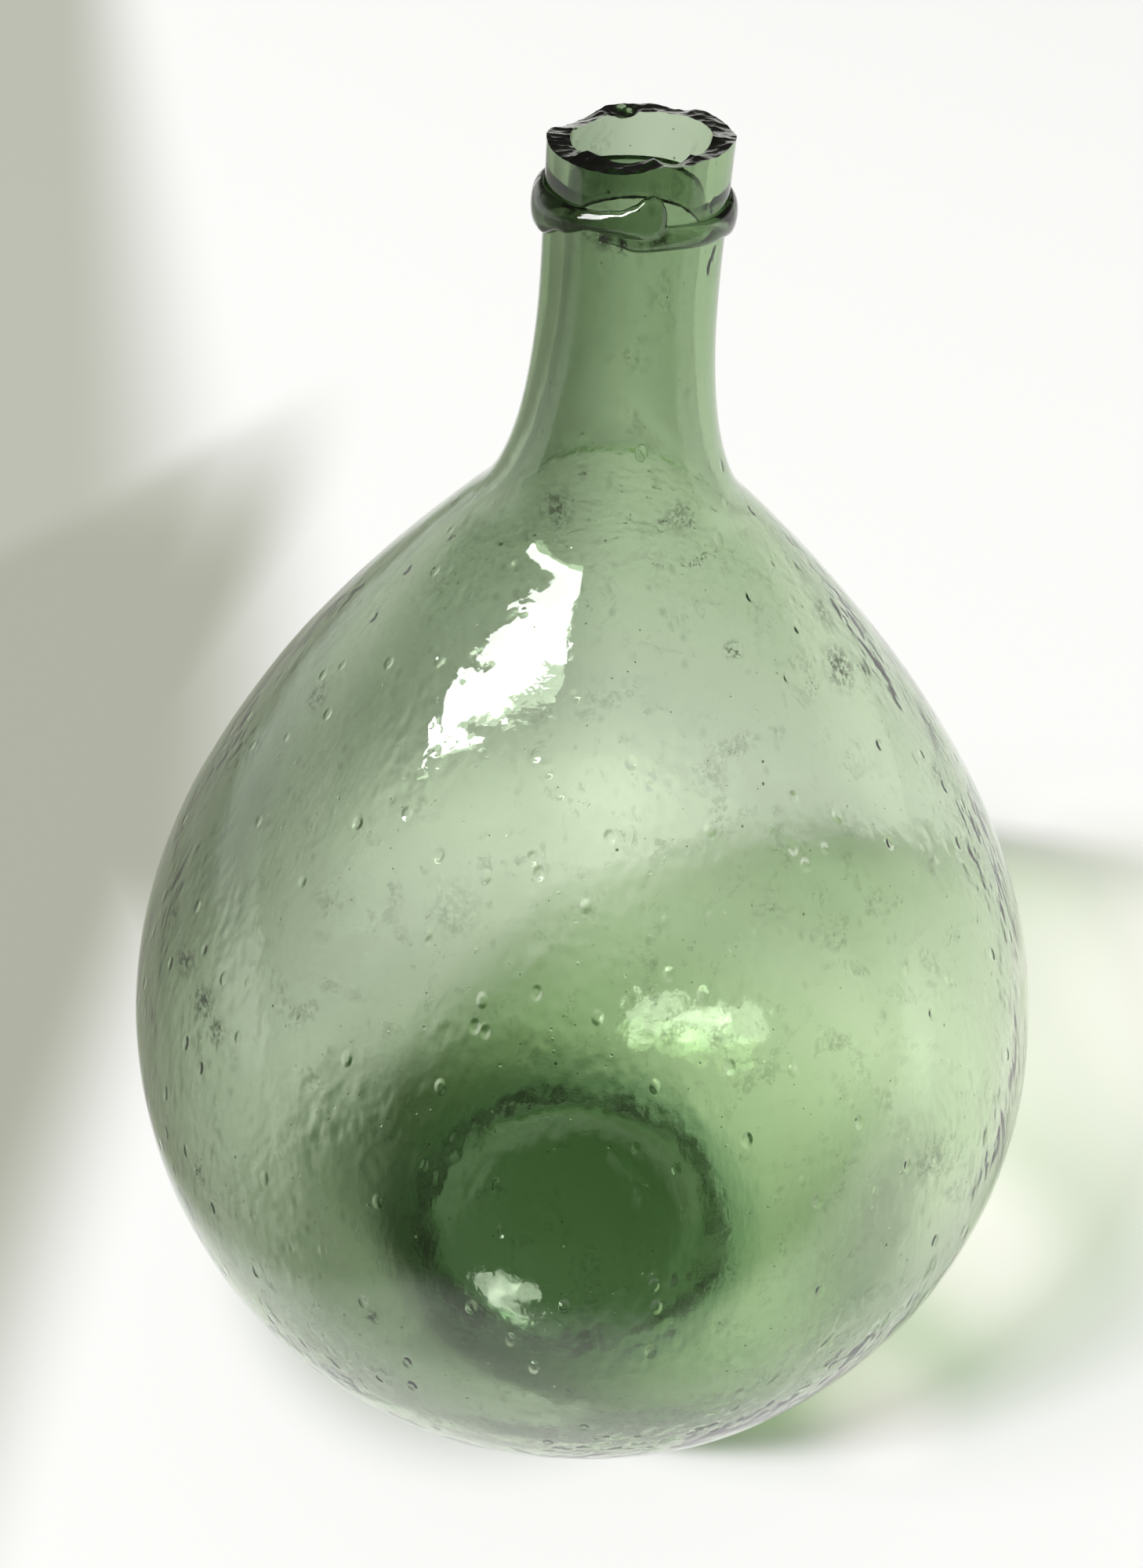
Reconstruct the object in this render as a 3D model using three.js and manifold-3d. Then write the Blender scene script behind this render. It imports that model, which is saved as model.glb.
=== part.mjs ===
// A hand-blown green glass demijohn of about nineteen litres, in two pieces of glass:
// the bottle, with its lip left as it was cracked off the blowing iron, and the thread
// of glass wound once round the neck, whose ends lap at the front.
// Millimetres, +Z up. The origin is on the floor, under the middle of the belly.
// The front faces -Y. A turn is an angle in degrees from the front towards +X.

import * as THREE from 'three';
import { mergeVertices } from 'three/addons/utils/BufferGeometryUtils.js';
import Module from 'manifold-3d';

// The belly, and the floor that cuts into its round underside
const bellyRadius = 166;
const bellyHeight = 150.5;
const flattening = 17.3;

// The shoulder, from the widest point up to the root of the neck
const shoulderHeight = 213.5;
const shoulderRise = 88;
const shoulderPull = 47.5;
const rootRadius = 42;
const rootSlope = 45.3;

// The neck, flared out of the shoulder and straight below the lip
const flareHeight = 76.5;
const flarePull = 19.5;
const neckPull = 30.5;
const neckRadius = 24;
const straightHeight = 30.5;

// The neck leans to the right as it was blown
const neckLean = 4.5;
const leanStart = 288;
const leanBend = 36;

// The rest on the floor, and the pushed-up bottom inside it
const heelRound = 20;
const restWidth = 5.5;
const kickRound = 6;
const kickRise = 19;
const kickGlass = 10;
const valleyRound = 17;

// Thickness of the glass
const heelWall = 6.5;
const bellyWall = 2.8;
const shoulderWall = 3.2;
const neckWall = 6;
const heelReach = 80;

// The break at the lip: how far down the glass it reaches, its slow swell, its roughness,
// and the chips out of its outer and inner edges
const breakReach = 3.5;
const breakSwell = 0.6;
const swellTurn = 100;
const breakGrain = 0.35;
const chips = [
  { turn: -32, reach: 46, outer: 3.1, inner: 1.6 },
  { turn: 26, reach: 17, outer: 0.2, inner: 1.9 },
  { turn: 62, reach: 20, outer: 0, inner: 1.5 },
  { turn: 108, reach: 26, outer: 1.3, inner: 0.6 },
  { turn: 158, reach: 14, outer: 0.7, inner: 0.2 },
  { turn: 196, reach: 14, outer: 0, inner: 1.6 },
  { turn: 237, reach: 33, outer: 3.6, inner: 2.2 },
  { turn: 284, reach: 28, outer: 2.0, inner: 2.6 },
];

// The wound thread at the back of the neck: how far its middle lies below the lip, half
// its height, and how far it stands off the neck
const threadDrop = 18.6;
const threadHalf = 5.4;
const threadDepth = 3;
const threadGap = 0.3;
const threadFullness = 0.7;

// The thread along its turn, each measure as a share of what it is at the back. It starts
// as a thin tip and ends in a round lobe, pinched off.
const thread = [
  { turn: -22, drop: 1.03, half: 0.11, depth: 0.17 },
  { turn: -13, drop: 0.99, half: 0.30, depth: 0.50 },
  { turn: 2, drop: 1.01, half: 0.50, depth: 0.70 },
  { turn: 20, drop: 0.97, half: 0.59, depth: 0.77 },
  { turn: 58, drop: 1.00, half: 0.63, depth: 0.77 },
  { turn: 90, drop: 1.04, half: 0.93, depth: 0.87 },
  { turn: 180, drop: 1.00, half: 1.00, depth: 1.00 },
  { turn: 270, drop: 0.98, half: 1.19, depth: 1.13 },
  { turn: 290, drop: 0.96, half: 1.06, depth: 1.13 },
  { turn: 313, drop: 0.87, half: 0.70, depth: 1.10 },
  { turn: 334, drop: 0.79, half: 0.50, depth: 0.93 },
  { turn: 350, drop: 0.77, half: 0.59, depth: 0.97 },
  { turn: 358, drop: 0.75, half: 0.81, depth: 1.00 },
  { turn: 364, drop: 0.72, half: 1.07, depth: 1.00 },
  { turn: 369, drop: 0.71, half: 1.15, depth: 1.00 },
  { turn: 373, drop: 0.72, half: 1.04, depth: 0.90 },
  { turn: 376, drop: 0.74, half: 0.78, depth: 0.67 },
  { turn: 378, drop: 0.75, half: 0.37, depth: 0.30 },
];

// How finely the round forms are faceted
const bottleSides = 64;
const threadSides = 128;
const sectionSides = 9;

const { degToRad, lerp, smoothstep } = THREE.MathUtils;
const rootHeight = bellyHeight + shoulderHeight;
const straightStart = rootHeight + flareHeight;
const lipHeight = straightStart + straightHeight;
const lowerDepth = bellyHeight + flattening;

// Sideways shift of the neck at a height: a gentle bend, then straight
function leanAt(height) {
  const bend = leanBend / 2;
  const up = Math.max(0, height - leanStart);
  const run = up < leanBend ? up ** 2 / (2 * leanBend) : up - bend;
  return neckLean * run / (lipHeight - leanStart - bend);
}

// Thickness of the glass at a height on the outside
function wallAt(height) {
  const lower = lerp(heelWall, bellyWall, smoothstep(height, 0, heelReach));
  const upper = lerp(lower, shoulderWall, smoothstep(height, bellyHeight, rootHeight - shoulderPull));
  return lerp(upper, neckWall, smoothstep(height, rootHeight - shoulderPull, straightStart));
}

// Points along a curve of the outline, each moved into the glass by its thickness there
// where an inside is asked for
function trace(curve, steps, inside = false) {
  const points = [];
  for (let step = 0; step <= steps; step++) {
    const at = curve.getPoint(step / steps);
    const along = curve.getTangent(step / steps);
    const wall = inside ? wallAt(at.y) : 0;
    points.push(new THREE.Vector2(at.x - along.y * wall, at.y + along.x * wall));
  }
  return points;
}

function arc(centre, radius, from, to) {
  return new THREE.EllipseCurve(
    centre.x, centre.y, radius, radius, degToRad(from), degToRad(to), to < from);
}

// A dome with its crown on the axis at a height, running into a round about a centre.
// Returned as the two arcs, the round going on past its lowest point to a slope.
function domeAndRound(crown, centre, round, slope) {
  const rise = crown - centre.y;
  const radius = (centre.x ** 2 + rise ** 2 - round ** 2) / (2 * (round + rise));
  const spread = THREE.MathUtils.radToDeg(Math.asin(centre.x / (round + radius)));
  const dome = arc(new THREE.Vector2(0, crown - radius), radius, 90, 90 - spread);
  return [dome, arc(centre, round, 270 - spread, 270 + slope)];
}

// Where the round underside of the belly gives way to the heel's round: the angle round
// the ellipse, found by halving, and the slope there
function heelMeeting() {
  let low = 0;
  let high = Math.PI / 2;
  const slopeAt = (angle) =>
    Math.atan2(lowerDepth * Math.cos(angle), bellyRadius * Math.sin(angle));
  for (let halving = 0; halving < 40; halving++) {
    const angle = (low + high) / 2;
    const height = bellyHeight - lowerDepth * Math.sin(angle);
    if (height > heelRound * (1 - Math.cos(slopeAt(angle)))) low = angle;
    else high = angle;
  }
  return { angle: low, slope: slopeAt(low), radius: bellyRadius * Math.cos(low) };
}

// The outside curves from the heel up to the lip
function sideCurves(heel) {
  const slope = degToRad(rootSlope);
  const belly = new THREE.Vector2(bellyRadius, bellyHeight);
  const root = new THREE.Vector2(rootRadius, rootHeight);
  const upSlope = new THREE.Vector2(-Math.sin(slope), Math.cos(slope));
  const neck = new THREE.Vector2(neckRadius, straightStart);
  return {
    under: new THREE.EllipseCurve(
      0, bellyHeight, bellyRadius, lowerDepth, -heel.angle, 0, false),
    shoulder: new THREE.CubicBezierCurve(
      belly, belly.clone().add(new THREE.Vector2(0, shoulderRise)),
      root.clone().addScaledVector(upSlope, -shoulderPull), root),
    flare: new THREE.CubicBezierCurve(
      root, root.clone().addScaledVector(upSlope, flarePull),
      neck.clone().sub(new THREE.Vector2(0, neckPull)), neck),
  };
}

// How far the break lies above or below the lip height. Across runs from 0 at the outer
// edge to 1 at the inner edge. A wave that quickens as it goes makes the roughness.
function breakAt(side, across) {
  const turn = side * 360 / bottleSides;
  let height = breakSwell * Math.cos(2 * degToRad(turn - swellTurn));
  for (const chip of chips) {
    const away = Math.abs(((turn - chip.turn + 540) % 360) - 180) / chip.reach;
    height -= lerp(chip.outer, chip.inner, across) * Math.max(0, 1 - away ** 2);
  }
  return height + breakGrain * Math.sin(side ** 2 + 2 * across);
}

// Raises and lowers the lip's rings to the break. The first and the last of them lie on
// the straight glass below it, and move less.
function breakLip(geometry, ringsEach, firstRing, rings) {
  const places = geometry.attributes.position;
  for (let side = 0; side <= bottleSides; side++) {
    for (let ring = 0; ring < rings; ring++) {
      const onGlass = ring === 0 || ring === rings - 1;
      const across = THREE.MathUtils.clamp((ring - 1) / (rings - 3), 0, 1);
      const shift = breakAt(side % bottleSides, across) * (onGlass ? 0.75 : 1);
      const index = side * ringsEach + firstRing + ring;
      places.setY(index, places.getY(index) + shift);
    }
  }
}

// The bottle as one closed outline turned about its axis, then broken at the lip and
// leaned over at the neck
function makeBottle() {
  const heel = heelMeeting();
  const heelSlope = THREE.MathUtils.radToDeg(heel.slope);
  const restOuter = heel.radius - heelRound * Math.sin(heel.slope);
  const restInner = restOuter - restWidth;
  const [kick, kickEdge] = domeAndRound(
    kickRise, new THREE.Vector2(restInner, kickRound), kickRound, 0);
  const side = sideCurves(heel);
  const outside = [
    ...trace(kick, 4),
    ...trace(kickEdge, 2).slice(1),
    ...trace(arc(new THREE.Vector2(restOuter, heelRound), heelRound, 270, 270 + heelSlope), 3),
    ...trace(side.under, 9).slice(1),
    ...trace(side.shoulder, 12).slice(1),
    ...trace(side.flare, 8).slice(1),
  ];

  const flank = trace(side.under, 8, true);
  const valley = flank[0].clone().add(
    new THREE.Vector2(-Math.sin(heel.slope), Math.cos(heel.slope)).multiplyScalar(valleyRound));
  const [dome, valleyFloor] = domeAndRound(
    kickRise + kickGlass, valley, valleyRound, heelSlope);
  const inside = [
    ...trace(dome, 4),
    ...trace(valleyFloor, 4).slice(1),
    ...flank.slice(1),
    ...trace(side.shoulder, 10, true).slice(1),
    ...trace(side.flare, 7, true).slice(1),
  ];

  const bore = neckRadius - neckWall;
  const lip = [
    new THREE.Vector2(neckRadius, lipHeight - breakReach),
    new THREE.Vector2(neckRadius, lipHeight),
    new THREE.Vector2((neckRadius + bore) / 2, lipHeight),
    new THREE.Vector2(bore, lipHeight),
    new THREE.Vector2(bore, lipHeight - breakReach),
  ];
  const outline = [...outside, ...lip, ...inside.reverse()];
  const geometry = new THREE.LatheGeometry(outline, bottleSides);
  breakLip(geometry, outline.length, outside.length, lip.length);
  geometry.rotateX(Math.PI / 2);
  leanOver(geometry);
  return geometry;
}

// Moves every point sideways by the lean of the neck at its height
function leanOver(geometry) {
  const places = geometry.attributes.position;
  for (let index = 0; index < places.count; index++) {
    places.setX(index, places.getX(index) + leanAt(places.getZ(index)));
  }
}

// Radius of the outside of the neck at a height, found on the flare by halving
function neckAt(height, flare) {
  let low = 0;
  let high = 1;
  for (let halving = 0; halving < 30 && height < straightStart; halving++) {
    const share = (low + high) / 2;
    if (flare.getPoint(share).y < height) low = share;
    else high = share;
  }
  return height < straightStart ? flare.getPoint(low).x : neckRadius;
}

// The thread's place and size at a turn, eased from station to station
function threadAt(turn) {
  const last = thread.length - 1;
  const found = thread.findIndex((station) => station.turn >= turn);
  const next = found < 0 ? last : Math.max(1, found);
  const before = thread[next - 1];
  const after = thread[next];
  const share = smoothstep(turn, before.turn, after.turn);
  return {
    height: lipHeight - threadDrop * lerp(before.drop, after.drop, share),
    half: threadHalf * lerp(before.half, after.half, share),
    depth: threadDepth * lerp(before.depth, after.depth, share),
  };
}

// One stretch of the thread between two turns: a D-shaped section with its flat against
// the neck, carried round in steps and closed at both ends
function threadStretch(from, to) {
  const flare = sideCurves(heelMeeting()).flare;
  const step = 360 / threadSides;
  const count = Math.round((to - from) / step);
  const ring = sectionSides + 2;
  const positions = [];
  const faces = [];
  for (let i = 0; i <= count; i++) {
    const turn = from + i * step;
    const { height, half, depth } = threadAt(turn);
    const angle = degToRad(turn);
    for (let j = 0; j < ring; j++) {
      const swing = Math.PI * j / (ring - 1);
      const z = height - half * Math.cos(swing);
      const bulge = depth * Math.abs(Math.sin(swing)) ** threadFullness;
      const radius = neckAt(z, flare) + threadGap + bulge;
      positions.push(radius * Math.sin(angle) + leanAt(z), -radius * Math.cos(angle), z);
    }
  }
  for (let i = 0; i < count; i++) {
    for (let j = 0; j < ring; j++) {
      const a = i * ring + j;
      const b = i * ring + (j + 1) % ring;
      faces.push(a, a + ring, b, b, a + ring, b + ring);
    }
  }
  const last = count * ring;
  for (let j = 1; j < ring - 1; j++) {
    faces.push(0, j, j + 1, last, last + j + 1, last + j);
  }
  const geometry = new THREE.BufferGeometry();
  geometry.setAttribute('position', new THREE.Float32BufferAttribute(positions, 3));
  geometry.setIndex(faces);
  return geometry;
}

function toSolid(wasm, geometry) {
  const bare = geometry.clone();
  bare.deleteAttribute('normal');
  bare.deleteAttribute('uv');
  const merged = mergeVertices(bare, 1e-4);
  return new wasm.Manifold(new wasm.Mesh({
    numProp: 3,
    vertProperties: new Float32Array(merged.attributes.position.array),
    triVerts: new Uint32Array(merged.index.array),
  }));
}

function fromSolid(solid) {
  const mesh = solid.getMesh();
  const geometry = new THREE.BufferGeometry();
  geometry.setAttribute('position', new THREE.BufferAttribute(mesh.vertProperties, 3));
  geometry.setIndex(new THREE.BufferAttribute(mesh.triVerts, 1));
  return geometry;
}

// The thread laps over its own start, so it is made as two stretches and joined
function makeThread(wasm) {
  const step = 360 / threadSides;
  const toStep = (turn) => Math.round(turn / step) * step;
  const start = toStep(thread[0].turn);
  const end = toStep(thread[thread.length - 1].turn);
  const middle = toStep((start + end) / 2);
  const first = toSolid(wasm, threadStretch(start, middle + step));
  const second = toSolid(wasm, threadStretch(middle, end));
  return fromSolid(first.add(second));
}

function glass(colour, opacity) {
  return new THREE.MeshStandardMaterial({
    color: colour, roughness: 0.06, metalness: 0, transparent: true, opacity,
  });
}

function named(name, geometry, material) {
  geometry.computeVertexNormals();
  const mesh = new THREE.Mesh(geometry, material);
  mesh.name = name;
  return mesh;
}

const wasm = await Module();
wasm.setup();

const demijohn = new THREE.Group();
demijohn.add(named('bottle', makeBottle(), glass(0x9dba8e, 0.5)));
demijohn.add(named('neck_thread', makeThread(wasm), glass(0x3e5e42, 0.7)));

export default demijohn;
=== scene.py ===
import math

import bmesh
import bpy
from mathutils import Matrix, Vector, geometry, noise


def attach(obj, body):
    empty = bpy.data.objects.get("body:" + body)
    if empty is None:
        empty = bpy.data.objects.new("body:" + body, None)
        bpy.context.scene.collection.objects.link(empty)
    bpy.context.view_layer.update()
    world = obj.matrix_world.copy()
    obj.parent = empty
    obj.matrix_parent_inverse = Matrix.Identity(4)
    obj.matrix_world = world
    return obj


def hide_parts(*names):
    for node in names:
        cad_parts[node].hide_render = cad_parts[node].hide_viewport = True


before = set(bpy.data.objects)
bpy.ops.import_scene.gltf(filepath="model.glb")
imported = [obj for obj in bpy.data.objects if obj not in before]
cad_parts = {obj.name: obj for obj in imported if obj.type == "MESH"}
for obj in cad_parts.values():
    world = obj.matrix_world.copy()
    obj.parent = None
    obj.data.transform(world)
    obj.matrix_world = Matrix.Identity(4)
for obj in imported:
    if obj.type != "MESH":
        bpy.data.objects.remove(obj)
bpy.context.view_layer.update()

# The bottle
# One bubble of green glass blown on the iron. Its belly is flattened where it stands and
# its bottom is pushed up. The neck was drawn out with a slight lean, and its lip was left
# as it cracked off the iron.

# Sizes are in millimetres, and a turn is in degrees from the front towards +X, as in the
# part's own source
belly_radius = 166.0
belly_height = 150.5
flattening = 17.3
shoulder_height = 213.5
shoulder_rise = 88.0
shoulder_pull = 47.5
root_radius = 42.0
root_slope = math.radians(45.3)
flare_height = 76.5
flare_pull = 19.5
neck_pull = 30.5
neck_radius = 24.0
straight_height = 30.5
neck_lean = 4.5
lean_start = 288.0
lean_bend = 36.0
heel_round = 20.0
rest_width = 5.5
kick_round = 6.0
kick_rise = 19.0
kick_glass = 10.0
valley_round = 17.0
heel_wall = 6.5
belly_wall = 2.8
shoulder_wall = 3.2
neck_wall = 6.0
heel_reach = 80.0

lower_depth = belly_height + flattening
root_height = belly_height + shoulder_height
straight_start = root_height + flare_height
lip_height = straight_start + straight_height
neck_root = Vector((root_radius, root_height))
root_way = Vector((-math.sin(root_slope), math.cos(root_slope)))

# How many steps each stretch of the outline is drawn in, and the bottle round its axis
kick_steps = 14
heel_steps = 8
under_steps = 44
shoulder_steps = 56
flare_steps = 30
lip_steps = 34
across_steps = 10
bottom_steps = 16
bottle_sides = 210


def ease(value, low, high):
    share = min(1.0, max(0.0, (value - low) / (high - low)))
    return share * share * (3 - 2 * share)


def between(a, b, share):
    return a + (b - a) * share


def lean_at(height):
    bend = lean_bend / 2
    up = max(0.0, height - lean_start)
    run = up ** 2 / (2 * lean_bend) if up < lean_bend else up - bend
    return neck_lean * run / (lip_height - lean_start - bend)


def wall_at(height):
    thinning = root_height - shoulder_pull
    lower = between(heel_wall, belly_wall, ease(height, 0, heel_reach))
    upper = between(lower, shoulder_wall, ease(height, belly_height, thinning))
    return between(upper, neck_wall, ease(height, thinning, straight_start))


def arc(centre, radius, start, end, steps, radius_up=None):
    up = radius if radius_up is None else radius_up
    angles = [between(start, end, i / steps) for i in range(steps + 1)]
    return [Vector((centre[0] + radius * math.cos(a), centre[1] + up * math.sin(a))) for a in angles]


def inside_of(points):
    """The same stretch of the outline on the inside of the glass."""
    moved = []
    for i, point in enumerate(points):
        along = (points[min(i + 1, len(points) - 1)] - points[max(i - 1, 0)]).normalized()
        moved.append(point + wall_at(point.y) * Vector((-along.y, along.x)))
    return moved


def dome_and_round(crown, centre, radius, slope, steps):
    """A dome with its crown on the axis, running into a round that turns up to a slope."""
    rise = crown - centre[1]
    dome_radius = (centre[0] ** 2 + rise ** 2 - radius ** 2) / (2 * (radius + rise))
    spread = math.asin(centre[0] / (radius + dome_radius))
    top = math.pi / 2
    dome = arc((0, crown - dome_radius), dome_radius, top, top - spread, steps)
    foot = arc(centre, radius, -top - spread, -top + slope, steps // 2)
    return dome + foot[1:]


halvings = 40


def heel_meeting():
    """Where the belly's round underside gives way to the heel: its angle and slope there,
    found by halving."""
    low, high = 0.0, math.pi / 2
    for _ in range(halvings):
        angle = (low + high) / 2
        slope = math.atan2(lower_depth * math.cos(angle), belly_radius * math.sin(angle))
        if belly_height - lower_depth * math.sin(angle) > heel_round * (1 - math.cos(slope)):
            low = angle
        else:
            high = angle
    return low, slope


def flare_curve(steps):
    """The outline from the root of the neck up to where the neck runs straight."""
    top = Vector((neck_radius, straight_start))
    return geometry.interpolate_bezier(
        neck_root, neck_root + root_way * flare_pull, top - Vector((0, neck_pull)), top, steps)


def bottle_outline():
    """The outline from the middle of the underside, up the outside, over the lip and down
    the inside to the middle of the pushed-up bottom. Also where the lip starts and ends."""
    heel_angle, heel_slope = heel_meeting()
    heel_radius = belly_radius * math.cos(heel_angle)
    rest_outer = heel_radius - heel_round * math.sin(heel_slope)
    kick = dome_and_round(kick_rise, (rest_outer - rest_width, kick_round), kick_round, 0, kick_steps)
    heel = arc((rest_outer, heel_round), heel_round, -math.pi / 2, heel_slope - math.pi / 2, heel_steps)
    under = arc((0, belly_height), belly_radius, -heel_angle, 0, under_steps, lower_depth)
    belly = Vector((belly_radius, belly_height))
    shoulder = geometry.interpolate_bezier(
        belly, belly + Vector((0, shoulder_rise)), neck_root - root_way * shoulder_pull, neck_root,
        shoulder_steps)
    flare = flare_curve(flare_steps)
    side = under + [p.to_2d() for p in shoulder[1:]] + [p.to_2d() for p in flare[1:]]
    bore = neck_radius - neck_wall
    up_neck = [between(straight_start, lip_height, i / lip_steps) for i in range(1, lip_steps + 1)]
    across = [Vector((between(neck_radius, bore, i / across_steps), lip_height))
              for i in range(1, across_steps)]
    inner_side = inside_of(side)
    upright = Vector((-math.sin(heel_slope), math.cos(heel_slope)))
    valley = inner_side[0] + upright * valley_round
    bottom = dome_and_round(kick_rise + kick_glass, valley, valley_round, heel_slope, bottom_steps)
    outside = kick + heel[:-1] + side + [Vector((neck_radius, z)) for z in up_neck]
    inside = bottom + inner_side[1:] + [Vector((bore, z)) for z in up_neck]
    outline = outside + across + inside[::-1]
    return outline, len(outside) - 1, len(outside) + len(across)


# Chips out of the lip: the turn at the middle of each, how far it reaches to each side, and
# how deep it is at the outer and at the inner edge
lip_chips = [
    (-32, 46, 3.1, 1.6), (26, 17, 0.2, 1.9), (62, 20, 0.0, 1.5), (108, 26, 1.3, 0.6),
    (158, 14, 0.7, 0.2), (196, 14, 0.0, 1.6), (237, 33, 3.6, 2.2), (284, 28, 2.0, 2.6),
]

# The height and the width of what else the crack left, and how far down the lip it shows
lip_swell = 0.6
lip_swell_turn = 100
lip_wave, lip_wave_width, lip_wave_shift = 0.7, 8.0, Vector((0, 3, 0))
lip_scar, lip_scar_width, lip_scar_shift = 0.45, 3.4, Vector((9, 9, 9))
lip_scar_floor = 0.2
lip_grit, lip_grit_width = 0.04, 0.9
break_reach = 8.0
fine_reach = 4.0


def break_at(place, turn, across):
    """How far the broken lip lies above or below its height: a slow swell, the chips, and
    the soft waves and small scars that a crack leaves."""
    height = lip_swell * math.cos(2 * math.radians(turn - lip_swell_turn))
    for middle, reach, outer, inner in lip_chips:
        away = abs((turn - middle + 540) % 360 - 180) / reach
        height -= between(outer, inner, across) * max(0.0, 1 - away ** 2)
    waves = lip_wave * noise.noise(place / lip_wave_width + lip_wave_shift)
    nearest = noise.voronoi(place / lip_scar_width + lip_scar_shift)[0][0]
    scars = lip_scar * (nearest ** 2 - lip_scar_floor)
    return height + waves + scars + lip_grit * noise.noise(place / lip_grit_width)


# The height and the width of the swells that blowing leaves, and where they fade out
big_swell, big_swell_width = 0.9, 95.0
small_swell, small_swell_width = 0.35, 38.0
own_wave, own_wave_width = 0.10, 17.0
inner_shift = 40
swell_below_lip = 60
swell_fade = 120
swell_foot = (18, 60)


def swell_at(place, height, inner):
    """How far blowing left the wall out of round: slow swells that both faces of the glass
    share, and small waves that each has of its own."""
    big = big_swell * noise.noise(place / big_swell_width)
    small = small_swell * noise.noise(place / small_swell_width)
    own = noise.noise(place / own_wave_width + Vector((0, 0, inner_shift if inner else 0)))
    shared = (big + small) * ease(lip_height - swell_below_lip - height, 0, swell_fade)
    return (shared + own_wave * own) * ease(height, *swell_foot)


def settle(vert, inner):
    """Takes a point of the turned shape to where blowing and the lean of the neck put it."""
    place = vert.co.copy()
    radius = place.xy.length
    if radius > 1:
        vert.co.xy *= 1 + swell_at(place, place.z, inner) / radius
    vert.co.x += lean_at(place.z)


metres = 0.001
merge_reach = 0.001
bottle_sharp = math.radians(32)


def turn_round(bm, chain):
    """Spins a chain of points round the axis into a closed solid with its faces outwards."""
    edges = [bm.edges.new(pair) for pair in zip(chain, chain[1:])]
    bmesh.ops.spin(bm, geom=chain + edges, cent=(0, 0, 0), axis=(0, 0, 1), dvec=(0, 0, 0),
                   angle=2 * math.pi, steps=bottle_sides, use_merge=True)
    bmesh.ops.remove_doubles(bm, verts=bm.verts, dist=merge_reach)
    bmesh.ops.recalc_face_normals(bm, faces=bm.faces)


def finished_mesh(bm, name):
    """Takes a shape from millimetres to metres and makes a mesh of it."""
    bmesh.ops.scale(bm, vec=(metres, metres, metres), verts=bm.verts)
    mesh = bpy.data.meshes.new(name)
    bm.to_mesh(mesh)
    bm.free()
    return mesh


def make_bottle():
    outline, lip_first, lip_last = bottle_outline()
    bm = bmesh.new()
    row = bm.verts.layers.int.new("row")
    chain = [bm.verts.new((p.x, 0, p.y)) for p in outline]
    for index, vert in enumerate(chain):
        vert[row] = index
    turn_round(bm, chain)
    bm.normal_update()
    top = [e for e in bm.edges if all(v.co.z > lip_height - fine_reach for v in e.verts)]
    bmesh.ops.subdivide_edges(bm, edges=top, cuts=1, use_grid_fill=True)
    for vert in bm.verts:
        place = vert.co.copy()
        across = min(1.0, max(0.0, (neck_radius - place.xy.length) / neck_wall))
        settle(vert, vert[row] > (lip_first + lip_last) / 2)
        if place.z > lip_height - break_reach:
            turn = math.degrees(math.atan2(place.x, -place.y))
            share = (place.z - lip_height + break_reach) / break_reach
            vert.co.z += share ** 2 * break_at(place, turn, across)
    mesh = finished_mesh(bm, "bottle_blown")
    mesh.shade_smooth()
    mesh.set_sharp_from_angle(angle=bottle_sharp)
    return mesh


def new_group(name, inputs, outputs):
    """An empty shader group, with the nodes that bring its values in and take them out."""
    group = bpy.data.node_groups.new(name, "ShaderNodeTree")
    for label, kind, value in inputs:
        socket = group.interface.new_socket(label, in_out="INPUT", socket_type=kind)
        if value is not None:
            socket.default_value = value
    for label, kind in outputs:
        group.interface.new_socket(label, in_out="OUTPUT", socket_type=kind)
    return group, group.nodes.new("NodeGroupInput"), group.nodes.new("NodeGroupOutput")


def wire(tree, socket, target):
    """Joins a socket to an input, or writes a plain value into it."""
    if isinstance(socket, (int, float, tuple)):
        target.default_value = socket
    else:
        tree.links.new(socket, target)


def maths(tree, operation, *values):
    """The output of a Math node with these inputs."""
    node = tree.nodes.new("ShaderNodeMath")
    node.operation = operation
    for value, target in zip(values, node.inputs):
        wire(tree, value, target)
    return node.outputs[0]


def ramp_of(tree, value, low, high, bottom=0.0, top=1.0):
    """Eases from bottom to top as the value goes from low to high."""
    node = tree.nodes.new("ShaderNodeMapRange")
    node.interpolation_type = "SMOOTHSTEP"
    for label, number in (("From Min", low), ("From Max", high), ("To Min", bottom), ("To Max", top)):
        node.inputs[label].default_value = number
    wire(tree, value, node.inputs["Value"])
    return node.outputs[0]


def blend_of(tree, share, first, second, kind="MIX"):
    """A colour between two colours, or the second added to or multiplied with the first."""
    node = tree.nodes.new("ShaderNodeMix")
    node.data_type = "RGBA"
    node.blend_type = kind
    wire(tree, share, node.inputs["Factor"])
    wire(tree, first, node.inputs["A"])
    wire(tree, second, node.inputs["B"])
    return node.outputs["Result"]


def stretched(tree, place, scale, shift=(0, 0, 0)):
    """The place with each axis scaled, so that a pattern on it is drawn out."""
    node = tree.nodes.new("ShaderNodeMapping")
    node.inputs["Scale"].default_value = scale
    node.inputs["Location"].default_value = shift
    wire(tree, place, node.inputs["Vector"])
    return node.outputs[0]


def grain_of(tree, place, scale, detail=2.0, roughness=0.5):
    node = tree.nodes.new("ShaderNodeTexNoise")
    node.inputs["Scale"].default_value = scale
    node.inputs["Detail"].default_value = detail
    node.inputs["Roughness"].default_value = roughness
    wire(tree, place, node.inputs["Vector"])
    return node.outputs["Fac"]


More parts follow.
